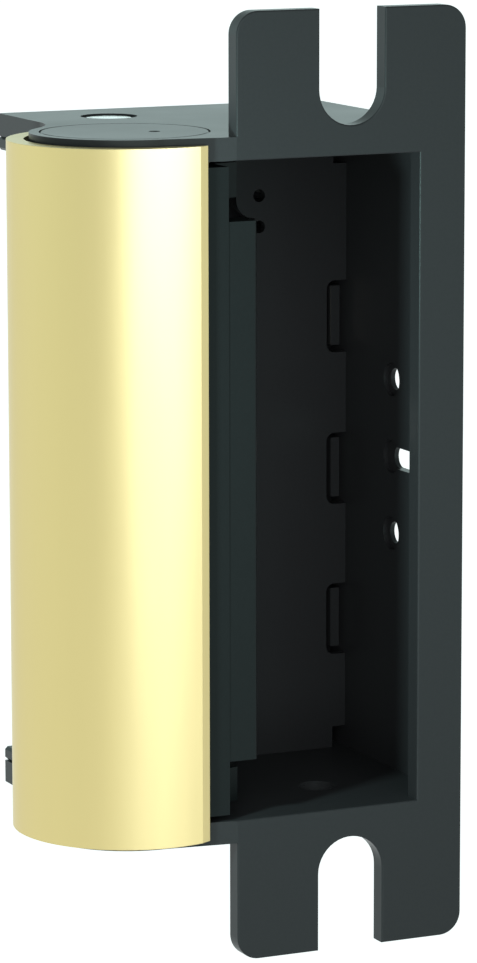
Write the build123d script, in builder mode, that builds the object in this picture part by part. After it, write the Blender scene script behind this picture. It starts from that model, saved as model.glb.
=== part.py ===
from build123d import *
import os
from math import atan2, cos, degrees, isclose, radians, sin, sqrt, tan

# Electric door strike, in millimetres.
# Frame: origin at the centre of the flange's front face, X to the right, Y into the door frame, Z up.

# ---------------------------------------------------------------- driving dimensions
flange_height = 114.3
flange_width = 30.2
flange_thickness = 2.45
flange_corner_radius = 2.8
flange_edge_radius = 0.2
fixing_slot_width = 8.6
fixing_slot_bottom = 43.3  # height of each fixing slot's closed end above and below the middle

shelf_inner_height = 39.7  # half the clear height between the two shelves
shelf_outer_height = 42.5
body_depth = 41.3
body_left = -28.6
side_fillet_radius = 9.0  # where the shelves' left sides run into the round noses
body_right = flange_width / 2
pocket_right = 9.0  # right edge of the latch opening in the flange
right_wall_thickness = 1.2
back_wall_front = 30.0
back_wall_thickness = 1.2
back_wall_left = 1.2
back_wall_tab_left = -1.35  # the back wall reaches further left near the shelves
back_wall_tab_height = 29.1
back_wall_tab_corner = 2.45
corner_slot_heights = (16.1, -3.4, -22.9)
corner_slot_left = 11.2
corner_slot_length = 9.2
corner_slot_radius = 1.1
corner_notch_left = 12.1
corner_notch_ends = (35.5, -37.0)  # the notches run from here to the shelves
pilot_hole_radius = 0.8
pilot_hole_places = [(1.8, 28.0), (1.8, 31.9)]
accessory_hole_radius = 1.35
accessory_recess_radius = 2.15
accessory_recess_depth = 0.6
accessory_hole_depth = 17.1
accessory_hole_height = 9.7
accessory_slot_back = 16.0
accessory_slot_front = 11.5
shelf_hole_place = (1.2, 12.0)
shelf_hole_radius = 2.05
shelf_hole_chamfer = 0.3

nose_centre = (-23.94, 12.58)  # axis of the half-round keeper
nose_radius = 11.4
cap_radius = 10.05
cap_clearance = 0.15
cap_thickness = 1.5
cap_chamfer = 0.15
cap_pin_hole = (-20.8, 10.9)
cap_pin_hole_radius = 0.7

pivot = (-17.8, 31.7)  # axis that the keeper swings about
pivot_pin_radius = 2.0
pivot_recess_radius = 3.5
pivot_recess_depth = 1.7
pivot_head_radius = 3.0
pivot_head_sink = 0.2

skin_outer_radius = 14.1
skin_inner_radius = 12.0
skin_half_height = 41.7
skin_rear_angle = -149.0  # angles about the nose centre, from the front, positive to the right
skin_rear_inner_angle = -146.0
skin_front_angle = 15.6
skin_inner_angle = 12.0
skin_end = (-18.9, -0.3)
skin_relief_radius = 31.65  # about the pivot: the skin's rims pass in front of the shelf noses
skin_relief_height = 39.5
skin_relief_back = 7.0

web_inner_radius = 10.0
web_outer_radius = 11.95
web_half_height = 39.3
keeper_front = 0.5
keeper_front_half_height = 39.0
lip_left = -15.9
lip_right = -12.15
lip_front = 0.6
lip_back = 4.6
lip_half_height = 32.5
arm_right = -12.2
arm_front = 6.4
arm_inner_height = 34.7
arm_outer_height = 37.3
arm_step_height = 38.9
arm_step_radius = 15.4  # about the pivot: beyond it the arms are thicker
boss_radius = 5.6
hub_radius = 3.9
hub_bore_radius = 2.4
finger_angle = 60.0  # the locking finger on the hub, from +X about the pivot
finger_half_width = 1.7
finger_radius = 7.6
finger_half_height = 1.75
lug_angle = 31.0  # the lug that winds the return spring
lug_radius = 7.4

case_sheet = 1.7
case_half_height = 39.65
case_left = -26.9  # between the case's two flanges, which reach out to body_left
case_side_right = 13.5
case_side_sheet = 1.2
case_side_front = 33.5
case_side_half_height = 33.0
case_tab_front = 31.0  # tabs on the right side that stand in the back wall's corner slots
case_tab_length = 7.6
case_flange_right = -9.0
case_flange_front = 24.0
case_edge_chamfer = 0.35

lever_pin_radius = 1.25
lever_front = 34.7
lever_thickness = 1.6
lever_half_height = 1.8
lever_swing = 22.0
nose_front = 35.2
nose_back = 38.2
nose_half_height = 1.5
nose_clearance = 0.25

solenoid_x = 7.0
solenoid_y = 35.5
solenoid_bottom = 7.0
solenoid_top = 33.0
yoke_plate = 1.0
coil_radius = 3.8
bobbin_bore_radius = 2.0
plunger_radius = 1.92
link_pin_radius = 0.75

fit = 0.05  # radial clearance of a turning fit
close = 0.02  # radial clearance of a fixed pin or screw
overcut = 1.0  # how far a cut runs past the faces that it opens

# ---------------------------------------------------------------- worked out
case_inside = body_depth - case_sheet
bush_flange = 0.5
lever_pin_shoulder = lever_front + lever_thickness + 0.1
link_height = -solenoid_x * tan(radians(lever_swing))  # link pin height at rest, lever released
post_centres = [(x, z) for x in (1.2, 9.8) for z in (-35.8, 35.8)]
post_radius = 2.0
post_bore_radius = 1.3
socket_centre = (5.0, -20.0)
solenoid_screw_centres = [(5.4, 35.2), (10.5, 5.2)]


def polar(centre, radius, angle):
    """Point at an angle about a centre, measured from +X."""
    return (centre[0] + radius * cos(radians(angle)), centre[1] + radius * sin(radians(angle)))


def nose_point(radius, angle):
    """Point about the nose centre, the angle measured from the front and positive to the right."""
    return polar(nose_centre, radius, angle - 90)


def height_plane(z):
    """Plan plane at a height: X to the right, Y into the frame."""
    return Plane.XY.offset(z)


def depth_plane(y):
    """Upright plane at a depth, facing the rear: its points are (x, -z)."""
    return Plane(origin=(0, y, 0), x_dir=(1, 0, 0), z_dir=(0, 1, 0))


def at(x, z):
    """Point (x, z) as a depth plane counts it."""
    return (x, -z)


def radial_plane(radius, angle, z):
    """Plane facing outward at a radius and an angle about the nose centre."""
    origin = nose_point(radius, angle)
    return Plane(origin=(*origin, z), z_dir=(origin[0] - nose_centre[0], origin[1] - nose_centre[1], 0))


def finish(piece, name):
    piece.part.label = name
    export_step(piece.part, f"parts/{name}.step")


os.makedirs("parts", exist_ok=True)

# ---------------------------------------------------------------- housing
# One casting: slotted flange, two shelves with round noses, right wall, back wall and screw posts.
shelf_thickness = shelf_outer_height - shelf_inner_height
slot_arc_height = fixing_slot_bottom + fixing_slot_width / 2
side_fillet_x = body_left - side_fillet_radius
side_fillet_reach = sqrt((nose_radius + side_fillet_radius) ** 2 - (side_fillet_x - nose_centre[0]) ** 2)
side_fillet_centre = (side_fillet_x, nose_centre[1] + side_fillet_reach)
side_fillet_angle = degrees(atan2(side_fillet_reach, side_fillet_x - nose_centre[0]))

with BuildPart() as housing:
    with BuildSketch(depth_plane(0)):
        RectangleRounded(flange_width, flange_height, flange_corner_radius)
        with Locations((0, -slot_arc_height), (0, slot_arc_height)):
            Circle(fixing_slot_width / 2, mode=Mode.SUBTRACT)
        with Locations(*[(0, side * (slot_arc_height + 15)) for side in (-1, 1)]):
            Rectangle(fixing_slot_width, 30, mode=Mode.SUBTRACT)
    extrude(amount=flange_thickness)
    front_edges = housing.edges().filter_by_position(Axis.Y, 0, 0)
    back_edges = housing.edges().filter_by_position(Axis.Y, flange_thickness, flange_thickness)
    fillet(front_edges + back_edges, flange_edge_radius)
    for base in (shelf_inner_height, -shelf_outer_height):
        with BuildSketch(height_plane(base)):
            with BuildLine():
                nose = CenterArc(nose_centre, nose_radius, 270, side_fillet_angle - 270)
                turn = 180 - side_fillet_angle
                side = CenterArc(side_fillet_centre, side_fillet_radius, -turn, turn)
                Polyline(
                    side @ 1,
                    (body_left, body_depth),
                    (body_right, body_depth),
                    (body_right, flange_thickness / 2),
                    (body_right - overcut, flange_thickness / 2),
                    (body_right - overcut, 0),
                    (-flange_width / 2, 0),
                    nose @ 0,
                )
            make_face()
        extrude(amount=shelf_thickness)
    # right wall
    with BuildSketch(height_plane(-shelf_outer_height)):
        with Locations((body_right, flange_thickness / 2)):
            Rectangle(right_wall_thickness, body_depth - flange_thickness / 2, align=(Align.MAX, Align.MIN))
    extrude(amount=2 * shelf_outer_height)
    # latch opening through the flange: everything between the shelves, left of its right edge
    with BuildSketch(height_plane(-shelf_inner_height)):
        with Locations((pocket_right, -overcut)):
            Rectangle(pocket_right - body_left, overcut + flange_thickness, align=(Align.MAX, Align.MIN))
    extrude(amount=2 * shelf_inner_height, mode=Mode.SUBTRACT)
    # back wall of the latch pocket, with its wider ends
    with BuildSketch(depth_plane(back_wall_front)) as back_wall:
        with Locations((body_right, 0)):
            wall_width = body_right - back_wall_tab_left
            Rectangle(wall_width, shelf_inner_height + shelf_outer_height, align=(Align.MAX, Align.CENTER))
        with Locations((back_wall_left, 0)):
            step = (back_wall_left - back_wall_tab_left + overcut, 2 * back_wall_tab_height)
            Rectangle(*step, align=(Align.MAX, Align.CENTER), mode=Mode.SUBTRACT)
        tab_corners = back_wall.vertices().group_by(Axis.X)[0].sort_by(Axis.Y)[1:3]
        fillet(tab_corners, back_wall_tab_corner)
    extrude(amount=back_wall_thickness)
    with BuildSketch(depth_plane(back_wall_front)):
        with Locations(*[at(x, z) for x, z in post_centres]):
            Circle(post_radius)
    extrude(amount=case_inside - back_wall_front)
    with BuildSketch(depth_plane(back_wall_front + back_wall_thickness)):
        with Locations(*[at(x, z) for x, z in post_centres]):
            Circle(post_bore_radius)
    extrude(amount=body_depth, mode=Mode.SUBTRACT)
    # small openings in the back wall: slots and notches along its right corner, and pilot holes
    corner = body_right - right_wall_thickness
    with BuildSketch(depth_plane(back_wall_front - overcut)) as openings:
        for height in corner_slot_heights:
            with Locations(at(corner, height)):
                Rectangle(corner - corner_slot_left, corner_slot_length, align=(Align.MAX, Align.CENTER))
        fillet(openings.vertices().group_by(Axis.X)[0], corner_slot_radius)
        for end in corner_notch_ends:
            shelf = shelf_inner_height if end > 0 else -shelf_inner_height
            with Locations(at(corner, (end + shelf) / 2)):
                Rectangle(corner - corner_notch_left, abs(shelf - end), align=(Align.MAX, Align.CENTER))
        with Locations(*[at(x, z) for x, z in pilot_hole_places]):
            Circle(pilot_hole_radius)
    extrude(amount=back_wall_thickness + 2 * overcut, mode=Mode.SUBTRACT)
    # three recessed places in the right wall: two round holes, and a slot with one square end
    accessory_heights = (-accessory_hole_height, 0, accessory_hole_height)
    with BuildSketch(Plane.YZ.offset(corner - overcut)):
        with Locations(*[(accessory_hole_depth, height) for height in accessory_heights]):
            Circle(accessory_recess_radius)
    extrude(amount=overcut + accessory_recess_depth, mode=Mode.SUBTRACT)
    with BuildSketch(Plane.YZ.offset(corner - overcut)):
        with Locations(*[(accessory_hole_depth, side * accessory_hole_height) for side in (-1, 1)]):
            Circle(accessory_hole_radius)
        with Locations((accessory_slot_back, 0)):
            Circle(accessory_hole_radius)
            slot_length = accessory_slot_back - accessory_slot_front
            Rectangle(slot_length, 2 * accessory_hole_radius, align=(Align.MAX, Align.CENTER))
    extrude(amount=right_wall_thickness + 2 * overcut, mode=Mode.SUBTRACT)
    # cap recesses, pivot holes and round holes in both shelves
    for side in (-1, 1):
        outside = Plane(origin=(0, 0, side * shelf_outer_height), x_dir=(1, 0, 0), z_dir=(0, 0, -side))
        with BuildSketch(outside):
            with Locations((nose_centre[0], -side * nose_centre[1])):
                Circle(cap_radius + cap_clearance)
        extrude(amount=cap_thickness, mode=Mode.SUBTRACT)
        with BuildSketch(outside):
            with Locations((pivot[0], -side * pivot[1])):
                Circle(pivot_recess_radius)
        extrude(amount=pivot_recess_depth, mode=Mode.SUBTRACT)
        with BuildSketch(outside):
            with Locations((pivot[0], -side * pivot[1])):
                Circle(pivot_pin_radius + close)
        extrude(amount=shelf_thickness, mode=Mode.SUBTRACT)
        with BuildSketch(outside):
            with Locations((shelf_hole_place[0], -side * shelf_hole_place[1])):
                Circle(shelf_hole_radius)
        extrude(amount=shelf_thickness, mode=Mode.SUBTRACT)
        inner_level = side * shelf_inner_height
        level_edges = housing.edges().filter_by_position(Axis.Z, inner_level, inner_level)
        hole_rims = level_edges.filter_by(GeomType.CIRCLE)
        chamfer(hole_rims.filter_by(lambda rim: isclose(rim.radius, shelf_hole_radius)), shelf_hole_chamfer)
    window_reach = shelf_inner_height + flange_edge_radius
    front_edges = housing.edges().filter_by_position(Axis.Y, 0, 0)
    fillet(front_edges.filter_by_position(Axis.Z, -window_reach, window_reach), flange_edge_radius)

finish(housing, "housing")

# ---------------------------------------------------------------- nose caps
for name, base, outside in (
    ("top_cap", shelf_outer_height - cap_thickness, -1),
    ("bottom_cap", -shelf_outer_height, 0),
):
    with BuildPart() as cap:
        with BuildSketch(height_plane(base)):
            with Locations(nose_centre):
                Circle(cap_radius)
            with Locations(cap_pin_hole):
                Circle(cap_pin_hole_radius, mode=Mode.SUBTRACT)
        extrude(amount=cap_thickness)
        outer_face = cap.faces().sort_by(Axis.Z)[outside]
        chamfer(outer_face.edges().sort_by(SortBy.LENGTH)[-1], cap_chamfer)
    finish(cap, name)

# ---------------------------------------------------------------- rear case
# A cast case that closes the rear and carries the lock; its flanges lie against the shelves.
case_flange_depth = body_depth - case_flange_front
case_back_front = back_wall_front + back_wall_thickness + fit
case_side_left = case_side_right - case_side_sheet
case_left_wall_front = 27.0
case_cutback = (4.0, 5.0)  # X and Y size of the cut-back corner of the top and bottom flanges
buffer_tab_thickness = 1.5
buffer_tab_length = 6.0
buffer_tab_base = 34.5
buffer_tab_height = case_half_height - 0.5 - buffer_tab_base
socket_size = (8.4, 7.0)
socket_gap = 0.1
screw_seat_angle = 90
with BuildPart() as rear_case:
    with BuildSketch(height_plane(-case_half_height)):
        with Locations((case_left, case_inside)):
            Rectangle(case_side_right - case_left, case_sheet, align=(Align.MIN, Align.MIN))
    extrude(amount=2 * case_half_height)
    # top and bottom flanges, wide on the left and cut back behind the pocket's right corner
    for base in (case_half_height - case_sheet, -case_half_height):
        with BuildSketch(height_plane(base)):
            with Locations((body_left, body_depth)):
                Rectangle(case_flange_right - body_left, case_flange_depth, align=(Align.MIN, Align.MAX))
            with Locations((case_side_right, body_depth)):
                flange_reach = case_side_right - case_flange_right + overcut
                Rectangle(flange_reach, body_depth - case_back_front, align=(Align.MAX, Align.MAX))
            with Locations((case_side_right, case_side_front)):
                Rectangle(*case_cutback, align=(Align.MAX, Align.MAX), mode=Mode.SUBTRACT)
            with Locations(pivot):
                Circle(pivot_pin_radius + close, mode=Mode.SUBTRACT)
        extrude(amount=case_sheet)
    outer_edges = rear_case.edges().filter_by(Axis.Y).filter_by_position(Axis.X, body_left, body_left)
    chamfer(outer_edges, case_edge_chamfer)
    # left and right sides
    with BuildSketch(height_plane(-case_side_half_height)):
        with Locations((case_left, case_left_wall_front)):
            left_depth = case_inside + overcut - case_left_wall_front
            Rectangle(case_sheet, left_depth, align=(Align.MIN, Align.MIN))
    extrude(amount=2 * case_side_half_height)
    with BuildSketch(height_plane(-case_half_height)):
        with Locations((case_side_left, case_side_front)):
            side_depth = case_inside + overcut - case_side_front
            Rectangle(case_side_sheet, side_depth, align=(Align.MIN, Align.MIN))
    extrude(amount=2 * case_half_height)
    for height in corner_slot_heights:
        with BuildSketch(height_plane(height - case_tab_length / 2)):
            with Locations((case_side_left, case_tab_front)):
                tab_depth = case_side_front + overcut - case_tab_front
                Rectangle(case_side_sheet, tab_depth, align=(Align.MIN, Align.MIN))
        extrude(amount=case_tab_length)
    # tabs that the keeper's buffers sit on
    for side in (-1, 1):
        with BuildSketch(height_plane(side * buffer_tab_base)):
            with Locations((case_flange_right, case_flange_front)):
                Rectangle(buffer_tab_thickness, buffer_tab_length, align=(Align.MAX, Align.MIN))
        extrude(amount=side * buffer_tab_height)
    with BuildSketch(depth_plane(body_depth)):
        with Locations(at(*socket_centre)):
            Rectangle(socket_size[0] + 2 * socket_gap, socket_size[1] + 2 * socket_gap)
        with Locations(at(0, 0)):
            Circle(lever_pin_radius + close)
    extrude(amount=-case_sheet - overcut, mode=Mode.SUBTRACT)
    with Locations(depth_plane(body_depth)):
        with Locations(*[at(x, z) for x, z in post_centres]):
            CounterSinkHole(post_bore_radius, 2.45, case_sheet, screw_seat_angle)
        with Locations(*[at(x, z) for x, z in solenoid_screw_centres]):
            CounterSinkHole(1.05, 1.95, case_sheet, screw_seat_angle)

finish(rear_case, "rear_case")


def countersunk_screws(name, centres, shank_radius, head_radius, length):
    """Countersunk screws driven forward into the rear face, each with a hexagon socket."""
    head_depth = head_radius - shank_radius
    head_edge = -0.1
    with BuildPart() as screws:
        for x, z in centres:
            with BuildSketch(Plane(origin=(x, body_depth, z), x_dir=(1, 0, 0), z_dir=(0, 0, 1))):
                with BuildLine():
                    Polyline(
                        (0, 0),
                        (head_radius, 0),
                        (head_radius, head_edge),
                        (shank_radius, head_edge - head_depth),
                        (shank_radius, -length),
                        (0, -length),
                        close=True,
                    )
                make_face()
            revolve(axis=Axis((x, body_depth, z), (0, 1, 0)))
        with BuildSketch(depth_plane(body_depth)):
            with Locations(*[at(x, z) for x, z in centres]):
                RegularPolygon(head_radius * 0.45, 6)
        extrude(amount=-head_depth, mode=Mode.SUBTRACT)
    finish(screws, name)


countersunk_screws("case_screws", post_centres, shank_radius=1.25, head_radius=2.3, length=8.0)
countersunk_screws(
    "solenoid_screws", solenoid_screw_centres, shank_radius=0.88, head_radius=1.8, length=2.6
)

# ---------------------------------------------------------------- keeper frame
# The swinging body: a curved web behind the skin, two arms to the pivot, and a hub joining the arms.
arm_arc_radius = web_inner_radius + 0.6
web_end_angle = 19.0  # about the nose centre, where the web meets the keeper's front block
block_angle = 18.5
block_back_angle = 36.0
block_back_right = (-16.8, 5.6)
bush_seat_base = 33.5
bush_radius = 3.0
lug_base = 6.9
lug_width = 2.0
skin_screw_pocket_radius = 2.4
skin_screw_head = 0.9  # depth of a skin screw's head below the web's inner face
skin_screw_hole_radius = 1.3
lip_screw_radius = 0.8
lip_screw_clearance = 0.05
lip_screw_start = -18.6


def arm_outline():
    """Plan face of one arm: boss at the pivot, straight right side, round front inside the web."""
    with BuildSketch(mode=Mode.PRIVATE) as outline:
        with BuildLine():
            boss = CenterArc(pivot, boss_radius, 0, 180)
            front = CenterArc(nose_centre, arm_arc_radius, skin_rear_angle - 90 + 360, 45 - skin_rear_angle)
            Line(boss @ 1, front @ 0)
            Polyline(front @ 1, (arm_right, arm_front), boss @ 0)
        make_face()
    return outline.sketch


with BuildPart() as keeper_frame:
    with BuildSketch(height_plane(-web_half_height)):
        with BuildLine():
            web_turn = web_end_angle - skin_rear_angle
            outer = CenterArc(nose_centre, web_outer_radius, skin_rear_angle - 90, web_turn)
            inner = CenterArc(nose_centre, web_inner_radius, skin_rear_angle - 90, web_turn)
            Line(outer @ 0, inner @ 0)
            Line(outer @ 1, inner @ 1)
        make_face()
    extrude(amount=2 * web_half_height)
    with BuildSketch(height_plane(-keeper_front_half_height)):
        with BuildLine():
            Polyline(
                nose_point(web_outer_radius - 0.01, block_angle),
                (-18.5, keeper_front),
                (lip_left, keeper_front),
                (lip_left, lip_back),
                block_back_right,
                nose_point(web_inner_radius + 0.02, block_back_angle),
                nose_point(web_inner_radius + 0.3, block_angle),
                close=True,
            )
        make_face()
    extrude(amount=2 * keeper_front_half_height)
    for side in (-1, 1):
        with BuildSketch(height_plane(side * arm_inner_height)):
            add(arm_outline())
        extrude(amount=side * (arm_outer_height - arm_inner_height))
        with BuildSketch(height_plane(side * arm_inner_height)):
            add(arm_outline())
            with Locations(pivot):
                Circle(arm_step_radius, mode=Mode.SUBTRACT)
        extrude(amount=side * (arm_step_height - arm_inner_height))
    with BuildSketch(height_plane(-arm_inner_height - overcut)):
        with Locations(pivot):
            Circle(hub_radius)
    extrude(amount=2 * (arm_inner_height + overcut))
    # locking finger
    with BuildSketch(height_plane(-finger_half_height)):
        with Locations(Location((*pivot, 0), (0, 0, finger_angle))):
            Rectangle(finger_radius + overcut, 2 * finger_half_width, align=(Align.MIN, Align.CENTER))
        with Locations(pivot):
            Circle(finger_radius, mode=Mode.INTERSECT)
    extrude(amount=2 * finger_half_height)
    # spring lug: a short arm with an upright end that reaches past the spring's leg
    for start, height in ((2.8, 2.4), (6.0, 5.2)):
        with BuildSketch(height_plane(lug_base)):
            with Locations(Location((*pivot, 0), (0, 0, lug_angle))):
                with Locations((start, 0)):
                    Rectangle(lug_radius - start, lug_width, align=(Align.MIN, Align.CENTER))
        extrude(amount=height)
    # bore for the pivot pin, with seats for the bushes
    with BuildSketch(height_plane(-arm_outer_height - overcut)):
        with Locations(pivot):
            Circle(hub_bore_radius)
    extrude(amount=2 * (arm_outer_height + overcut), mode=Mode.SUBTRACT)
    for side in (-1, 1):
        with BuildSketch(height_plane(side * bush_seat_base)):
            with Locations(pivot):
                Circle(bush_radius)
        extrude(amount=side * (arm_outer_height + overcut - bush_seat_base), mode=Mode.SUBTRACT)
    # pockets and holes for the skin screws, holes for the lip screws
    screw_start_radius = 8.0
    skin_screw_places = [(angle, z) for angle in (-105, -25) for z in (-31.0, 31.0)]
    for angle, z in skin_screw_places:
        radial = radial_plane(screw_start_radius, angle, z)
        with BuildSketch(radial):
            Circle(skin_screw_pocket_radius)
        extrude(amount=web_inner_radius + skin_screw_head - screw_start_radius, mode=Mode.SUBTRACT)
        with BuildSketch(radial):
            Circle(skin_screw_hole_radius)
        extrude(amount=web_outer_radius + overcut - screw_start_radius, mode=Mode.SUBTRACT)
    lip_screw_heights = (-26.0, 0.0, 26.0)
    lip_screw_depth = 2.6
    with BuildSketch(Plane.YZ.offset(lip_screw_start)):
        with Locations(*[(lip_screw_depth, z) for z in lip_screw_heights]):
            Circle(lip_screw_radius + lip_screw_clearance)
    extrude(amount=lip_left + overcut - lip_screw_start, mode=Mode.SUBTRACT)

finish(keeper_frame, "keeper_frame")

# ---------------------------------------------------------------- keeper skin
skin_screw_radius = 1.2
skin_screw_end = 13.3  # radius about the nose centre that the blind screw holes reach
with BuildPart() as keeper_skin:
    with BuildSketch(height_plane(-skin_half_height)):
        with BuildLine():
            outer_turn = skin_front_angle - skin_rear_angle
            inner_turn = skin_inner_angle - skin_rear_inner_angle
            outer = CenterArc(nose_centre, skin_outer_radius, skin_rear_angle - 90, outer_turn)
            inner = CenterArc(nose_centre, skin_inner_radius, skin_rear_inner_angle - 90, inner_turn)
            Line(outer @ 0, inner @ 0)
            Polyline(outer @ 1, skin_end, (skin_end[0] - 0.1, skin_end[1] + 0.75), inner @ 1)
        make_face()
    extrude(amount=2 * skin_half_height)
    for side in (-1, 1):
        with BuildSketch(height_plane(side * skin_relief_height)):
            with Locations(pivot):
                Circle(skin_relief_radius)
            with Locations(nose_centre):
                Circle(skin_outer_radius + overcut, mode=Mode.INTERSECT)
            with Locations((nose_centre[0], skin_relief_back)):
                reach = skin_outer_radius + overcut
                Rectangle(reach, 2 * reach, align=(Align.MIN, Align.MAX), mode=Mode.INTERSECT)
        extrude(amount=side * (skin_half_height + overcut - skin_relief_height), mode=Mode.SUBTRACT)
    for angle, z in skin_screw_places:
        with BuildSketch(radial_plane(screw_start_radius, angle, z)):
            Circle(skin_screw_radius + close)
        extrude(amount=skin_screw_end - screw_start_radius, mode=Mode.SUBTRACT)

finish(keeper_skin, "keeper_skin")

with BuildPart() as skin_screws:
    for angle, z in skin_screw_places:
        radial = radial_plane(web_inner_radius - 0.1, angle, z)
        with BuildSketch(radial):
            Circle(skin_screw_pocket_radius - 0.2)
        extrude(amount=skin_screw_head + 0.1)
        with BuildSketch(radial):
            Circle(skin_screw_radius)
        extrude(amount=skin_screw_end - web_inner_radius)
        with BuildSketch(radial):
            RegularPolygon(1.0, 6)
        extrude(amount=0.6, mode=Mode.SUBTRACT)

finish(skin_screws, "skin_screws")

# ---------------------------------------------------------------- keeper lip
lip_edge_radius = 0.4
lip_screw_end = -6.2  # the screws' points, from the lip's right face
with BuildPart() as keeper_lip:
    with BuildSketch(height_plane(-lip_half_height)):
        with Locations((lip_left, lip_front)):
            Rectangle(lip_right - lip_left, lip_back - lip_front, align=(Align.MIN, Align.MIN))
    extrude(amount=2 * lip_half_height)
    fillet(keeper_lip.edges().filter_by(Axis.Z).sort_by(Axis.X)[-2:], lip_edge_radius)
    lip_face = Plane(origin=(lip_right, 0, 0), x_dir=(0, 1, 0), z_dir=(1, 0, 0))
    with Locations(lip_face):
        with Locations(*[(lip_screw_depth, z) for z in lip_screw_heights]):
            CounterSinkHole(lip_screw_radius + lip_screw_clearance, 1.5, lip_right - lip_left + overcut, 90)

finish(keeper_lip, "keeper_lip")

with BuildPart() as lip_screws:
    for z in lip_screw_heights:
        with BuildSketch(Plane(origin=(lip_right, lip_screw_depth, z), x_dir=(1, 0, 0), z_dir=(0, 0, 1))):
            with BuildLine():
                Polyline(
                    (-0.1, 0),
                    (-0.1, 1.38),
                    (-0.68, lip_screw_radius),
                    (lip_screw_end, lip_screw_radius),
                    (lip_screw_end, 0),
                    close=True,
                )
            make_face()
        revolve(axis=Axis((lip_right, lip_screw_depth, z), (1, 0, 0)))
        with BuildSketch(Plane(origin=(lip_right, lip_screw_depth, z), x_dir=(0, 1, 0), z_dir=(1, 0, 0))):
            RegularPolygon(0.65, 6)
        extrude(amount=-0.6, mode=Mode.SUBTRACT)

finish(lip_screws, "lip_screws")

# ---------------------------------------------------------------- pivot pin, clip and bushes
pin_head_base = shelf_outer_height - pivot_recess_depth
pin_end_sink = 0.3
clip_thickness = 0.6
clip_radius = 3.2
bush_flange_radius = 4.2
with BuildPart() as keeper_pivot_pin:
    with BuildSketch(height_plane(pin_head_base)):
        with Locations(pivot):
            Circle(pivot_head_radius)
    extrude(amount=pivot_recess_depth - pivot_head_sink)
    chamfer(keeper_pivot_pin.faces().sort_by(Axis.Z)[-1].edges(), pivot_head_sink)
    with BuildSketch(height_plane(-shelf_outer_height + pin_end_sink)):
        with Locations(pivot):
            Circle(pivot_pin_radius)
    extrude(amount=shelf_outer_height - pin_end_sink + pin_head_base)

finish(keeper_pivot_pin, "keeper_pivot_pin")

with BuildPart() as pivot_clip:
    with BuildSketch(height_plane(-pin_head_base - 0.1)):
        with Locations(pivot):
            Circle(clip_radius)
            Circle(pivot_pin_radius + close, mode=Mode.SUBTRACT)
        with Locations(Location((*pivot, 0), (0, 0, 30))):
            Rectangle(5, 2.6, align=(Align.MIN, Align.CENTER), mode=Mode.SUBTRACT)
    extrude(amount=-clip_thickness)

finish(pivot_clip, "pivot_clip")

with BuildPart() as pivot_bushes:
    for side in (-1, 1):
        with BuildSketch(height_plane(side * bush_seat_base)):
            with Locations(pivot):
                Circle(bush_radius - close)
        extrude(amount=side * (arm_outer_height - bush_seat_base))
        with BuildSketch(height_plane(side * arm_outer_height)):
            with Locations(pivot):
                Circle(bush_flange_radius)
        extrude(amount=side * bush_flange)
    with BuildSketch(height_plane(-shelf_outer_height)):
        with Locations(pivot):
            Circle(pivot_pin_radius + fit)
    extrude(amount=2 * shelf_outer_height, mode=Mode.SUBTRACT)

finish(pivot_bushes, "pivot_bushes")

# ---------------------------------------------------------------- keeper return spring
# Torsion spring round the hub, drawn wound up as at the open limit. One leg rests on the rear case.
spring_wire = 0.4
spring_radius = 4.7
spring_base = 10.6
spring_pitch = 1.0
spring_turns = 4.17
leg_overlap = 0.4
front_leg_length = 9.0
rear_leg_length = 6.4
rear_leg_angle = 30.0
with BuildPart() as keeper_spring:
    with BuildLine():
        coil = Helix(spring_pitch, spring_pitch * spring_turns, spring_radius, center=(*pivot, spring_base))
    with BuildSketch(Plane(origin=coil @ 0, z_dir=coil % 0)):
        Circle(spring_wire)
    sweep(is_frenet=True)
    with BuildSketch(Plane(origin=coil @ 0 + Vector(0, leg_overlap, 0), z_dir=(0, -1, 0))):
        Circle(spring_wire)
    extrude(amount=front_leg_length + leg_overlap)
    rear_leg = Vector(-cos(radians(rear_leg_angle)), sin(radians(rear_leg_angle)), 0)
    with BuildSketch(Plane(origin=coil @ 1 - rear_leg * leg_overlap, z_dir=rear_leg)):
        Circle(spring_wire)
    extrude(amount=rear_leg_length + leg_overlap)

finish(keeper_spring, "keeper_spring")

# ---------------------------------------------------------------- keeper buffers
buffer_size = (1.4, 4.0, 2.6)
buffer_edge_radius = 0.5
with BuildPart() as keeper_buffers:
    for side in (-1, 1):
        with BuildSketch(height_plane(side * (buffer_tab_base + 0.4))):
            with Locations((case_flange_right - buffer_tab_thickness, case_flange_front + overcut)):
                Rectangle(buffer_size[0], buffer_size[1], align=(Align.MAX, Align.MIN))
        extrude(amount=side * buffer_size[2])
    fillet(keeper_buffers.edges().filter_by(Axis.Z).group_by(Axis.X)[0], buffer_edge_radius)

finish(keeper_buffers, "keeper_buffers")

# ---------------------------------------------------------------- lock lever, its pin and clip
# Built along its own tilted line: at rest the nose is up, clear of the keeper's finger.
tilt = radians(lever_swing)
lever_face = Plane(origin=(0, lever_front, 0), x_dir=(cos(tilt), 0, -sin(tilt)), z_dir=(0, 1, 0))
lever_plan = Plane(origin=(0, 0, 0), x_dir=(cos(tilt), 0, -sin(tilt)), z_dir=(sin(tilt), 0, cos(tilt)))
lever_left = -9.5
nose_left = -8.5
lever_hub_radius = 2.6
lever_end = solenoid_x + 0.4
link_slot_centre = solenoid_x + 0.275
link_slot_length = 0.55


def finger_side(y):
    """X of the line just clear of the locking finger's right side, at a depth y."""
    offset = finger_half_width + nose_clearance
    turn = radians(finger_angle)
    along = (y - pivot[1] + offset * cos(turn)) / sin(turn)
    return pivot[0] + offset * sin(turn) + along * cos(turn)


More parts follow.
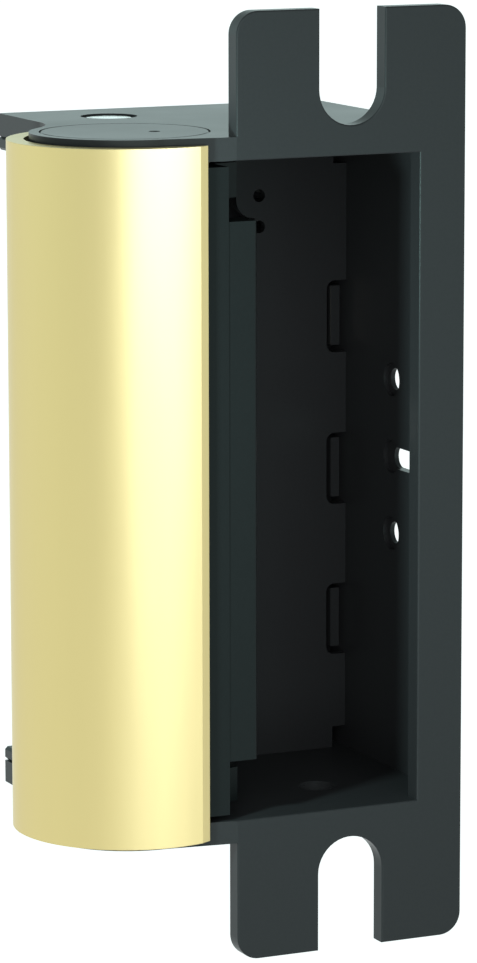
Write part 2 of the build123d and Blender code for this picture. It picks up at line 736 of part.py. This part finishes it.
with BuildPart() as lock_lever:
    with BuildSketch(lever_face):
        with Locations((lever_left, 0)):
            Rectangle(lever_end - lever_left, 2 * lever_half_height, align=(Align.MIN, Align.CENTER))
        with Locations((lever_end, 0)):
            Circle(lever_half_height)
        Circle(lever_hub_radius)
    extrude(amount=lever_thickness)
    with BuildSketch(lever_plan.offset(-nose_half_height)):
        with BuildLine():
            Polyline(
                (finger_side(nose_front), nose_front),
                (nose_left, nose_front),
                (nose_left, nose_back - 1),
                (lever_left, nose_back),
                (finger_side(nose_back), nose_back),
                close=True,
            )
        make_face()
    extrude(amount=2 * nose_half_height)
    with BuildSketch(lever_face.offset(-overcut)):
        Circle(lever_pin_radius + fit)
        with Locations((link_slot_centre, 0)):
            SlotCenterToCenter(link_slot_length, 2 * (link_pin_radius + 0.1))
    extrude(amount=nose_back - lever_front + 2 * overcut, mode=Mode.SUBTRACT)

finish(lock_lever, "lock_lever")

lever_pin_front = 33.4
lever_pin_shoulder_radius = 2.0
with BuildPart() as lever_pin:
    with BuildSketch(depth_plane(lever_pin_front)):
        Circle(lever_pin_radius)
    extrude(amount=body_depth - lever_pin_front)
    with BuildSketch(depth_plane(lever_pin_shoulder)):
        Circle(lever_pin_shoulder_radius)
    extrude(amount=case_inside - lever_pin_shoulder)

finish(lever_pin, "lever_pin")

lever_clip_thickness = 0.55
lever_clip_radius = 2.4
with BuildPart() as lever_clip:
    with BuildSketch(depth_plane(lever_front - 0.1)):
        Circle(lever_clip_radius)
        Circle(lever_pin_radius + close, mode=Mode.SUBTRACT)
        Rectangle(lever_clip_radius + overcut, 1.6, align=(Align.MIN, Align.CENTER), mode=Mode.SUBTRACT)
    extrude(amount=-lever_clip_thickness)

finish(lever_clip, "lever_clip")

# ---------------------------------------------------------------- solenoid
solenoid_axis = (solenoid_x, solenoid_y)
yoke_left = 3.1
yoke_right = 12.0
yoke_front = 31.9
yoke_back = 39.1
ear_thickness = 1.0
core_tail_radius = 1.2
bobbin_tube_radius = 2.5
bobbin_flange = 0.8

with BuildPart() as solenoid_yoke:
    with BuildSketch(Plane(origin=(0, yoke_front, 0), x_dir=(1, 0, 0), z_dir=(0, 1, 0))):
        with BuildLine():
            Polyline(
                at(yoke_left, solenoid_bottom),
                at(yoke_right, solenoid_bottom),
                at(yoke_right, solenoid_top),
                at(yoke_left, solenoid_top),
                at(yoke_left, solenoid_top - yoke_plate),
                at(yoke_right - yoke_plate, solenoid_top - yoke_plate),
                at(yoke_right - yoke_plate, solenoid_bottom + yoke_plate),
                at(yoke_left, solenoid_bottom + yoke_plate),
                close=True,
            )
        make_face()
    extrude(amount=yoke_back - yoke_front)
    # screw ears against the rear case
    with BuildSketch(depth_plane(case_inside - ear_thickness)):
        with Locations(at(5.4, 34.6)):
            Rectangle(3.6, 4.6)
        with Locations(at(10.5, 5.5)):
            Rectangle(3.0, 4.2)
    extrude(amount=ear_thickness)
    with BuildSketch(depth_plane(case_inside - ear_thickness - overcut)):
        with Locations(*[at(x, z) for x, z in solenoid_screw_centres]):
            Circle(0.9)
    extrude(amount=ear_thickness + 2 * overcut, mode=Mode.SUBTRACT)
    for base, radius in (
        (solenoid_bottom, bobbin_bore_radius),
        (solenoid_top - yoke_plate, core_tail_radius + fit),
    ):
        with BuildSketch(height_plane(base - overcut)):
            with Locations(solenoid_axis):
                Circle(radius)
        extrude(amount=yoke_plate + 2 * overcut, mode=Mode.SUBTRACT)

finish(solenoid_yoke, "solenoid_yoke")

bobbin_bottom = solenoid_bottom + yoke_plate
bobbin_top = solenoid_top - yoke_plate
with BuildPart() as solenoid_bobbin:
    with BuildSketch(height_plane(bobbin_bottom)):
        with Locations(solenoid_axis):
            Circle(bobbin_tube_radius)
    extrude(amount=bobbin_top - bobbin_bottom)
    for base in (bobbin_bottom, bobbin_top - bobbin_flange):
        with BuildSketch(height_plane(base)):
            with Locations(solenoid_axis):
                Circle(coil_radius)
        extrude(amount=bobbin_flange)
    with BuildSketch(height_plane(bobbin_bottom)):
        with Locations(solenoid_axis):
            Circle(bobbin_bore_radius)
    extrude(amount=bobbin_top, mode=Mode.SUBTRACT)

finish(solenoid_bobbin, "solenoid_bobbin")

coil_bottom = bobbin_bottom + bobbin_flange + fit
coil_top = bobbin_top - bobbin_flange - fit
with BuildPart() as solenoid_coil:
    with BuildSketch(height_plane(coil_bottom)):
        with Locations(solenoid_axis):
            Circle(coil_radius - 0.15)
            Circle(bobbin_tube_radius + close, mode=Mode.SUBTRACT)
    extrude(amount=coil_top - coil_bottom)

finish(solenoid_coil, "solenoid_coil")

core_bottom = 25.0
with BuildPart() as solenoid_core:
    with BuildSketch(height_plane(core_bottom)):
        with Locations(solenoid_axis):
            Circle(bobbin_bore_radius - fit)
    extrude(amount=bobbin_top - core_bottom)
    with BuildSketch(height_plane(bobbin_top)):
        with Locations(solenoid_axis):
            Circle(core_tail_radius)
    extrude(amount=yoke_plate + 0.3)

finish(solenoid_core, "solenoid_core")

# ---------------------------------------------------------------- plunger, link pin and spring
plunger_collar = 0.9
plunger_slot_top = 0.4
plunger_bottom = link_height - 2.0
plunger_gap = 0.15  # left between the plunger and the core when the solenoid has pulled in
collar_radius = 3.0
collar_thickness = 0.8
with BuildPart() as plunger:
    with BuildSketch(height_plane(plunger_bottom)):
        with Locations(solenoid_axis):
            Circle(plunger_radius)
    extrude(amount=core_bottom + link_height - plunger_gap - plunger_bottom)
    with BuildSketch(height_plane(plunger_collar)):
        with Locations(solenoid_axis):
            Circle(collar_radius)
    extrude(amount=collar_thickness)
    with BuildSketch(Plane.YZ.offset(solenoid_x - collar_radius)):
        with Locations((lever_front - 0.15, plunger_slot_top)):
            slot_height = plunger_slot_top - plunger_bottom + overcut
            Rectangle(lever_thickness + 0.3, slot_height, align=(Align.MIN, Align.MAX))
    extrude(amount=2 * collar_radius, mode=Mode.SUBTRACT)
    with BuildSketch(depth_plane(solenoid_y - collar_radius)):
        with Locations(at(solenoid_x, link_height)):
            Circle(link_pin_radius + close)
    extrude(amount=2 * collar_radius, mode=Mode.SUBTRACT)

finish(plunger, "plunger")

link_pin_length = 3.4
with BuildPart() as link_pin:
    with BuildSketch(depth_plane(solenoid_y - link_pin_length / 2)):
        with Locations(at(solenoid_x, link_height)):
            Circle(link_pin_radius)
    extrude(amount=link_pin_length)

finish(link_pin, "link_pin")

plunger_spring_wire = 0.2
plunger_spring_radius = 2.45
plunger_spring_turns = 4
plunger_spring_base = plunger_collar + collar_thickness + plunger_spring_wire
plunger_spring_height = solenoid_bottom - plunger_spring_wire - plunger_spring_base
with BuildPart() as plunger_spring:
    with BuildLine():
        spring_centre = (*solenoid_axis, plunger_spring_base)
        turn_pitch = plunger_spring_height / plunger_spring_turns
        turns = Helix(turn_pitch, plunger_spring_height, plunger_spring_radius, center=spring_centre)
    with BuildSketch(Plane(origin=turns @ 0, z_dir=turns % 0)):
        Circle(plunger_spring_wire)
    sweep(is_frenet=True)

finish(plunger_spring, "plunger_spring")

# ---------------------------------------------------------------- wire inlet and coil leads
socket_front = 33.5
contact_front = 31.9
contact_length = 8.6
contact_radius = 0.48
contact_places = [at(socket_centre[0] + offset, socket_centre[1]) for offset in (-1.7, 1.7)]
socket_wall = 0.8
socket_cup_depth = 6.0
with BuildPart() as inlet_socket:
    with BuildSketch(depth_plane(socket_front)):
        with Locations(at(*socket_centre)):
            Rectangle(*socket_size)
    extrude(amount=body_depth - socket_front)
    with BuildSketch(depth_plane(body_depth)):
        with Locations(at(*socket_centre)):
            Rectangle(socket_size[0] - 2 * socket_wall, socket_size[1] - 2 * socket_wall)
    extrude(amount=-socket_cup_depth, mode=Mode.SUBTRACT)
    with BuildSketch(depth_plane(socket_front - overcut)):
        with Locations(*contact_places):
            Circle(contact_radius + close)
    extrude(amount=body_depth - socket_cup_depth - socket_front + 2 * overcut, mode=Mode.SUBTRACT)

finish(inlet_socket, "inlet_socket")

with BuildPart() as inlet_contacts:
    with BuildSketch(depth_plane(contact_front)):
        with Locations(*contact_places):
            Circle(contact_radius)
    extrude(amount=contact_length)

finish(inlet_contacts, "inlet_contacts")

# Two insulated leads from the coil's left side, down in front of the lever, to the contacts.
lead_radius = 0.45
lead_bend = 1.4
lead_depth = 32.3
lead_end = (socket_centre[1] + 0.5, contact_front + 0.7)
lead_routes = (
    (
        (3.15, 35.0, 11.0),
        (1.9, 34.0, 9.3),
        (2.0, 32.5, 6.0),
        (3.2, lead_depth, 2.0),
        (3.3, lead_depth, -6.0),
        (6.5, lead_depth, -14.0),
        (6.7, lead_end[1], lead_end[0]),
    ),
    (
        (3.15, 35.0, 14.0),
        (0.8, 34.0, 11.8),
        (0.8, 32.5, 6.0),
        (2.1, lead_depth, 1.5),
        (2.2, lead_depth, -11.0),
        (3.2, lead_depth, -15.5),
        (3.3, lead_end[1], lead_end[0]),
    ),
)
with BuildPart() as coil_leads:
    for route in lead_routes:
        with BuildLine() as path:
            FilletPolyline(*route, radius=lead_bend)
        with BuildSketch(Plane(origin=path.line @ 0, z_dir=path.line % 0)):
            Circle(lead_radius)
        sweep(path=path.line)

finish(coil_leads, "coil_leads")
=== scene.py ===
import math

import bpy
from mathutils import Matrix, Vector


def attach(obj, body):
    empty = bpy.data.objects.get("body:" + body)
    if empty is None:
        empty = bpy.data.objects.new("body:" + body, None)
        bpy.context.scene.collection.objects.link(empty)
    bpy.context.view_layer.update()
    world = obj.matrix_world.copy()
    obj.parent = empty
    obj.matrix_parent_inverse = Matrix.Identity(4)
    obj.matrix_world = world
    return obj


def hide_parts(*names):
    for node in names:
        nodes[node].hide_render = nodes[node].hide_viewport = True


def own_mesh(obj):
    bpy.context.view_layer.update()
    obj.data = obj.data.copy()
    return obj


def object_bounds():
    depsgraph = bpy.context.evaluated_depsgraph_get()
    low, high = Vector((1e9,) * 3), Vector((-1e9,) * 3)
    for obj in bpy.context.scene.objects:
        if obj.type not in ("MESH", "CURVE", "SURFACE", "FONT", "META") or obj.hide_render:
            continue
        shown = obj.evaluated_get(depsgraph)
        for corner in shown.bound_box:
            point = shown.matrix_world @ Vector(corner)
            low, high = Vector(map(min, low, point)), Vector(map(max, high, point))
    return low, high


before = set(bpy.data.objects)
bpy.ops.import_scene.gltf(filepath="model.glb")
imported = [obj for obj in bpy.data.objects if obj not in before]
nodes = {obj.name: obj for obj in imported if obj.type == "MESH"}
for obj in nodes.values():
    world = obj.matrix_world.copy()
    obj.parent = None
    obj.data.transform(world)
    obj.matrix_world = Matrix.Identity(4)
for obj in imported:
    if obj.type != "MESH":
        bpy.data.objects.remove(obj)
cad_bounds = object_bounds()

MM = 0.001

# ---------------------------------------------------------------- camera
# The camera looks at the strike from the front left and slightly above.
CAMERA_AZIMUTH = -24.761
CAMERA_ELEVATION = 9.836
CAMERA_ROLL = -0.094
CAMERA_DISTANCE = 537.89 * MM
ORIGIN_RIGHT = 13.57 * MM  # how far the part's origin lies right of and above the line of sight
ORIGIN_UP = -0.51 * MM
LENS = 167.65  # the lens and the sensor's width are in camera millimetres, as Blender counts them
SENSOR = 36.0
NEAREST_SEEN = 0.01
FARTHEST_SEEN = 50


def add_camera():
    """Sets the camera by its direction, its roll and where the part's origin lies before it."""
    azimuth = math.radians(CAMERA_AZIMUTH)
    elevation = math.radians(CAMERA_ELEVATION)
    right = Vector((math.cos(azimuth), math.sin(azimuth), 0))
    forward = Vector((
        -math.sin(azimuth) * math.cos(elevation),
        math.cos(azimuth) * math.cos(elevation),
        -math.sin(elevation),
    ))
    roll = Matrix.Rotation(math.radians(-CAMERA_ROLL), 3, forward)
    right = roll @ right
    up = right.cross(forward)
    data = bpy.data.cameras.new("camera")
    data.lens = LENS
    data.sensor_width = SENSOR
    data.clip_start = NEAREST_SEEN
    data.clip_end = FARTHEST_SEEN
    camera = bpy.data.objects.new("camera", data)
    place = -(right * ORIGIN_RIGHT + up * ORIGIN_UP + forward * CAMERA_DISTANCE)
    camera.matrix_world = Matrix.Translation(place) @ Matrix((right, up, -forward)).transposed().to_4x4()
    bpy.context.collection.objects.link(camera)
    bpy.context.scene.camera = camera


# ---------------------------------------------------------------- studio
FLOOR_DROP = 0.25  # the part hangs in its frame, well above the floor
FLOOR_REACH = 12.0
FLOOR_GREY = 0.8
FLOOR_GLOW = 0.72
WALL_TINT = (0.80, 1.0, 0.985)
WALL_LIGHT = 1.35
CEILING_LIGHT = 0.45
CEILING_LEAN = (0, -0.25, 1)  # the dim ceiling comes down lower in front of the part than behind it
FADE_START = -0.05
FADE_END = 0.35
TEAL = (0.70, 1.0, 0.97)
COOL_WHITE = (0.64, 0.75, 1.0)


def add_floor():
    """A wide pale floor that glows a little, as in a bright studio."""
    mesh = bpy.data.meshes.new("floor")
    height = cad_bounds[0][2] - FLOOR_DROP
    corners = [(x * FLOOR_REACH, y * FLOOR_REACH, height) for x, y in ((-1, -1), (1, -1), (1, 1), (-1, 1))]
    mesh.from_pydata(corners, [], [(0, 1, 2, 3)])
    floor = bpy.data.objects.new("floor", mesh)
    bpy.context.collection.objects.link(floor)
    material = bpy.data.materials.new("floor_white")
    material.use_nodes = True
    shader = material.node_tree.nodes["Principled BSDF"]
    shader.inputs["Base Color"].default_value = (FLOOR_GREY, FLOOR_GREY, FLOOR_GREY, 1)
    shader.inputs["Roughness"].default_value = 1.0
    shader.inputs["Specular IOR Level"].default_value = 0.0
    shader.inputs["Emission Color"].default_value = (1, 1, 1, 1)
    shader.inputs["Emission Strength"].default_value = FLOOR_GLOW
    mesh.materials.append(material)


def add_walls_and_ceiling():
    """Pale walls round the part, and a dimmer ceiling with a soft border between them."""
    world = bpy.data.worlds.new("studio")
    world.use_nodes = True
    tree = world.node_tree
    background = tree.nodes["Background"]
    background.inputs["Color"].default_value = (*WALL_TINT, 1)
    coordinates = tree.nodes.new("ShaderNodeTexCoord")
    height = tree.nodes.new("ShaderNodeVectorMath")
    height.operation = "DOT_PRODUCT"
    height.inputs[1].default_value = CEILING_LEAN
    fade = tree.nodes.new("ShaderNodeMapRange")
    fade.interpolation_type = "SMOOTHSTEP"
    fade.inputs["From Min"].default_value = FADE_START
    fade.inputs["From Max"].default_value = FADE_END
    fade.inputs["To Min"].default_value = WALL_LIGHT
    fade.inputs["To Max"].default_value = CEILING_LIGHT
    tree.links.new(coordinates.outputs["Generated"], height.inputs[0])
    tree.links.new(height.outputs["Value"], fade.inputs["Value"])
    tree.links.new(fade.outputs["Result"], background.inputs["Strength"])
    bpy.context.scene.world = world


def add_softbox(name, azimuth, elevation, distance, width, height, radiance, tint=(1, 1, 1)):
    """A soft light that faces the part, out of view; azimuth 0 is in front, positive to the right."""
    data = bpy.data.lights.new(name, "AREA")
    data.shape = "RECTANGLE"
    data.size = width
    data.size_y = height
    data.energy = radiance * math.pi * width * height
    data.color = tint
    light = bpy.data.objects.new(name, data)
    turn = math.radians(azimuth)
    lift = math.radians(elevation)
    towards = Vector((math.sin(turn) * math.cos(lift), -math.cos(turn) * math.cos(lift), math.sin(lift)))
    light.location = towards * distance
    light.rotation_euler = (-towards).to_track_quat("-Z", "Y").to_euler()
    light.visible_camera = False
    bpy.context.collection.objects.link(light)
    return light


def light_only(receivers, light):
    """Lets a light reach only some of the nodes, as a flag in front of a studio light does."""
    reached = bpy.data.collections.new(light.name + "_reach")
    for node in receivers:
        reached.objects.link(node)
    light.light_linking.receiver_collection = reached


def add_studio():
    """Lights the brass skin, the keeper's dark nodes and all other nodes each in their own way."""
    bpy.context.scene.view_settings.view_transform = "Standard"
    add_floor()
    add_walls_and_ceiling()
    brass = [nodes["keeper_skin"]]
    keeper = [nodes["keeper_frame"], nodes["keeper_lip"]]
    dark = [node for node in nodes.values() if node not in brass + keeper]
    light_only(brass, add_softbox(
        "brass_key", azimuth=14, elevation=22, distance=0.9, width=1.35, height=0.68, radiance=10.0,
        tint=COOL_WHITE))
    light_only(dark, add_softbox(
        "left_key", azimuth=-68, elevation=16, distance=0.083, width=0.008, height=0.008, radiance=640,
        tint=TEAL))
    light_only(keeper, add_softbox(
        "keeper_key", azimuth=-68, elevation=14, distance=0.083, width=0.008, height=0.008, radiance=400,
        tint=TEAL))
    light_only(dark + keeper, add_softbox(
        "side_panel", azimuth=28, elevation=-2, distance=0.9, width=0.8, height=0.5, radiance=0.8,
        tint=TEAL))
    light_only(dark, add_softbox(
        "room_fill", azimuth=-18, elevation=12, distance=0.9, width=1.0, height=1.0, radiance=3.0))


# ---------------------------------------------------------------- materials
# Noise scales are features per metre, and bump depths are metres.
BEVEL_SAMPLES = 6
BRUSHED = (1, 1, 0.08)  # scratches run along the part's height
PAINT_GLOSS = 0.11
PAINT_SHEEN = (0.77, 1.0, 0.97)
BRASS_EDGE_TINT = (0.75, 0.66, 0.40)
LACQUER_IOR = 1.75
LACQUER_ROUGHNESS = 0.36
TAPE_WAVES = 1000  # a wave texture's scale, which puts the ridges 0.31 mm apart
BLACK = (0.0150, 0.0155, 0.0165)


def shader_of(name, colour, roughness, metallic=0.0):
    """A new material, with its node tree and its shader."""
    material = bpy.data.materials.new(name)
    material.use_nodes = True
    tree = material.node_tree
    shader = tree.nodes["Principled BSDF"]
    shader.inputs["Base Color"].default_value = (*colour, 1)
    shader.inputs["Roughness"].default_value = roughness
    shader.inputs["Metallic"].default_value = metallic
    return material, tree, shader


def noise(tree, scale, detail=2.0, stretch=(1, 1, 1)):
    """A noise over the object's own coordinates, stretched along its axes."""
    coordinates = tree.nodes.new("ShaderNodeTexCoord")
    mapping = tree.nodes.new("ShaderNodeMapping")
    mapping.inputs["Scale"].default_value = stretch
    texture = tree.nodes.new("ShaderNodeTexNoise")
    texture.inputs["Scale"].default_value = scale
    texture.inputs["Detail"].default_value = detail
    tree.links.new(coordinates.outputs["Object"], mapping.inputs["Vector"])
    tree.links.new(mapping.outputs["Vector"], texture.inputs["Vector"])
    return texture.outputs["Fac"]


def relief(tree, shader, source, strength, depth, edge=0.0):
    """A bump on the surface; with an edge radius, sharp edges look slightly rounded too."""
    bump = tree.nodes.new("ShaderNodeBump")
    bump.inputs["Strength"].default_value = strength
    bump.inputs["Distance"].default_value = depth
    tree.links.new(source, bump.inputs["Height"])
    if edge:
        bevel = tree.nodes.new("ShaderNodeBevel")
        bevel.samples = BEVEL_SAMPLES
        bevel.inputs["Radius"].default_value = edge
        tree.links.new(bevel.outputs["Normal"], bump.inputs["Normal"])
    tree.links.new(bump.outputs["Normal"], shader.inputs["Normal"])


def uneven_gloss(tree, shader, source, roughness, change):
    """Varies the roughness a little, up and down."""
    ramp = tree.nodes.new("ShaderNodeMapRange")
    ramp.inputs["To Min"].default_value = roughness - change
    ramp.inputs["To Max"].default_value = roughness + change
    tree.links.new(source, ramp.inputs["Value"])
    tree.links.new(ramp.outputs["Result"], shader.inputs["Roughness"])


def mottle(tree, shader, source, colour, change):
    """Varies the base colour a little, darker and lighter."""
    mix = tree.nodes.new("ShaderNodeMix")
    mix.data_type = "RGBA"
    darker = tuple(channel * (1 - change) for channel in colour)
    lighter = tuple(channel * (1 + change) for channel in colour)
    # inputs 6 and 7 are the two colours, and output 2 is their mix
    mix.inputs[6].default_value = (*darker, 1)
    mix.inputs[7].default_value = (*lighter, 1)
    tree.links.new(source, mix.inputs["Factor"])
    tree.links.new(mix.outputs[2], shader.inputs["Base Color"])


def paint(name, colour, roughness):
    """Satin sprayed paint: a fine grain, and slightly uneven gloss and colour."""
    material, tree, shader = shader_of(name, colour, roughness)
    shader.inputs["Specular IOR Level"].default_value = PAINT_GLOSS
    shader.inputs["Specular Tint"].default_value = (*PAINT_SHEEN, 1)
    relief(tree, shader, noise(tree, scale=1600), strength=0.10, depth=0.04 * MM)
    uneven_gloss(tree, shader, noise(tree, scale=70, detail=3), roughness, change=0.04)
    mottle(tree, shader, noise(tree, scale=2600, detail=1), colour, change=0.12)
    return material


def bare_metal(name, colour, roughness, stretch=(1, 1, 1)):
    """Metal with fine scratches and a slightly uneven polish, and the nodes to add to it."""
    material, tree, shader = shader_of(name, colour, roughness, metallic=1.0)
    scratches = noise(tree, scale=900, detail=4, stretch=stretch)
    polish = noise(tree, scale=300, detail=4, stretch=stretch)
    relief(tree, shader, scratches, strength=0.08, depth=0.03 * MM, edge=0.08 * MM)
    uneven_gloss(tree, shader, polish, roughness, change=0.05)
    return material, tree, shader


def metal(name, colour, roughness):
    """Plain bare metal."""
    return bare_metal(name, colour, roughness)[0]


def lacquered_brass(name, colour, roughness):
    """Satin brass under a clear lacquer: a broad white sheen over a warm, brushed body."""
    material, tree, shader = bare_metal(name, colour, roughness, stretch=BRUSHED)
    shader.inputs["Specular Tint"].default_value = (*BRASS_EDGE_TINT, 1)
    shader.inputs["Coat Weight"].default_value = 1.0
    shader.inputs["Coat IOR"].default_value = LACQUER_IOR
    shader.inputs["Coat Roughness"].default_value = LACQUER_ROUGHNESS
    mottle(tree, shader, noise(tree, scale=300, detail=4, stretch=BRUSHED), colour, change=0.03)
    return material


def plastic(name, colour, roughness):
    """Moulded plastic or rubber: a faint texture, and slightly uneven gloss."""
    material, tree, shader = shader_of(name, colour, roughness)
    relief(tree, shader, noise(tree, scale=1200), strength=0.1, depth=0.04 * MM, edge=0.1 * MM)
    uneven_gloss(tree, shader, noise(tree, scale=120, detail=3), roughness, change=0.05)
    return material


def tape(name, colour, roughness):
    """Insulating tape over a coil, with the turns of wire showing through as fine ridges."""
    material, tree, shader = shader_of(name, colour, roughness)
    coordinates = tree.nodes.new("ShaderNodeTexCoord")
    turns = tree.nodes.new("ShaderNodeTexWave")
    turns.bands_direction = "Z"
    turns.inputs["Scale"].default_value = TAPE_WAVES
    tree.links.new(coordinates.outputs["Object"], turns.inputs["Vector"])
    relief(tree, shader, turns.outputs["Fac"], strength=0.8, depth=0.12 * MM)
    uneven_gloss(tree, shader, noise(tree, scale=300, detail=3), roughness, change=0.07)
    return material


def assign(material, *names):
    """Gives nodes a material in place of the CAD one."""
    for name in names:
        node = nodes[name]
        if not node.material_slots:
            node.data.materials.append(material)
        for slot in node.material_slots:
            slot.material = material


def finish_nodes():
    """Gives every node its material, from a colour and a roughness."""
    assign(paint("black_paint", BLACK, 0.32), "housing", "top_cap", "bottom_cap")
    assign(paint("black_case", BLACK, 0.32), "rear_case")
    # The keeper's black is a darker copy of the black paint. The extra darkness is painted shade for the
    # keeper, which sits set back behind the brass skin.
    assign(paint("black_keeper_painted_shade", (0.0090, 0.0096, 0.0102), 0.36), "keeper_frame", "keeper_lip")
    assign(lacquered_brass("satin_brass", (0.67, 0.525, 0.187), 0.38), "keeper_skin")
    assign(metal("screw_steel", (0.42, 0.42, 0.42), 0.34), "case_screws", "solenoid_screws", "skin_screws")
    assign(metal("black_screw", (0.05, 0.055, 0.055), 0.4), "lip_screws")
    assign(metal("pin_steel", (0.82, 0.82, 0.81), 0.22), "keeper_pivot_pin", "pivot_clip", "lever_pin",
           "lever_clip", "link_pin")
    assign(metal("spring_steel", (0.45, 0.45, 0.46), 0.3), "keeper_spring", "plunger_spring")
    assign(metal("zinc_steel", (0.58, 0.57, 0.53), 0.42), "solenoid_yoke", "solenoid_core", "plunger",
           "lock_lever")
    assign(tape("coil_tape", (0.012, 0.012, 0.013), 0.45), "solenoid_coil")
    assign(metal("bush_bronze", (0.50, 0.36, 0.17), 0.4), "pivot_bushes")
    assign(metal("contact_brass", (0.78, 0.66, 0.32), 0.28), "inlet_contacts")
    assign(plastic("bobbin_plastic", (0.03, 0.03, 0.035), 0.5), "solenoid_bobbin")
    assign(plastic("buffer_rubber", (0.02, 0.02, 0.02), 0.8), "keeper_buffers")
    assign(plastic("socket_plastic", (0.72, 0.70, 0.64), 0.4), "inlet_socket")
    assign(plastic("lead_insulation", (0.02, 0.02, 0.022), 0.45), "coil_leads")


def add_plunger_spring():
    """A copy of the plunger's spring, fixed to the housing's body, stands in for the CAD spring."""
    solid = nodes["plunger_spring"]
    spring = bpy.data.objects.new("plunger_return_spring", solid.data.copy())
    bpy.context.collection.objects.link(spring)
    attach(spring, "housing_body")
    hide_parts("plunger_spring")
    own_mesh(spring)


add_camera()
add_studio()
finish_nodes()
add_plunger_spring()
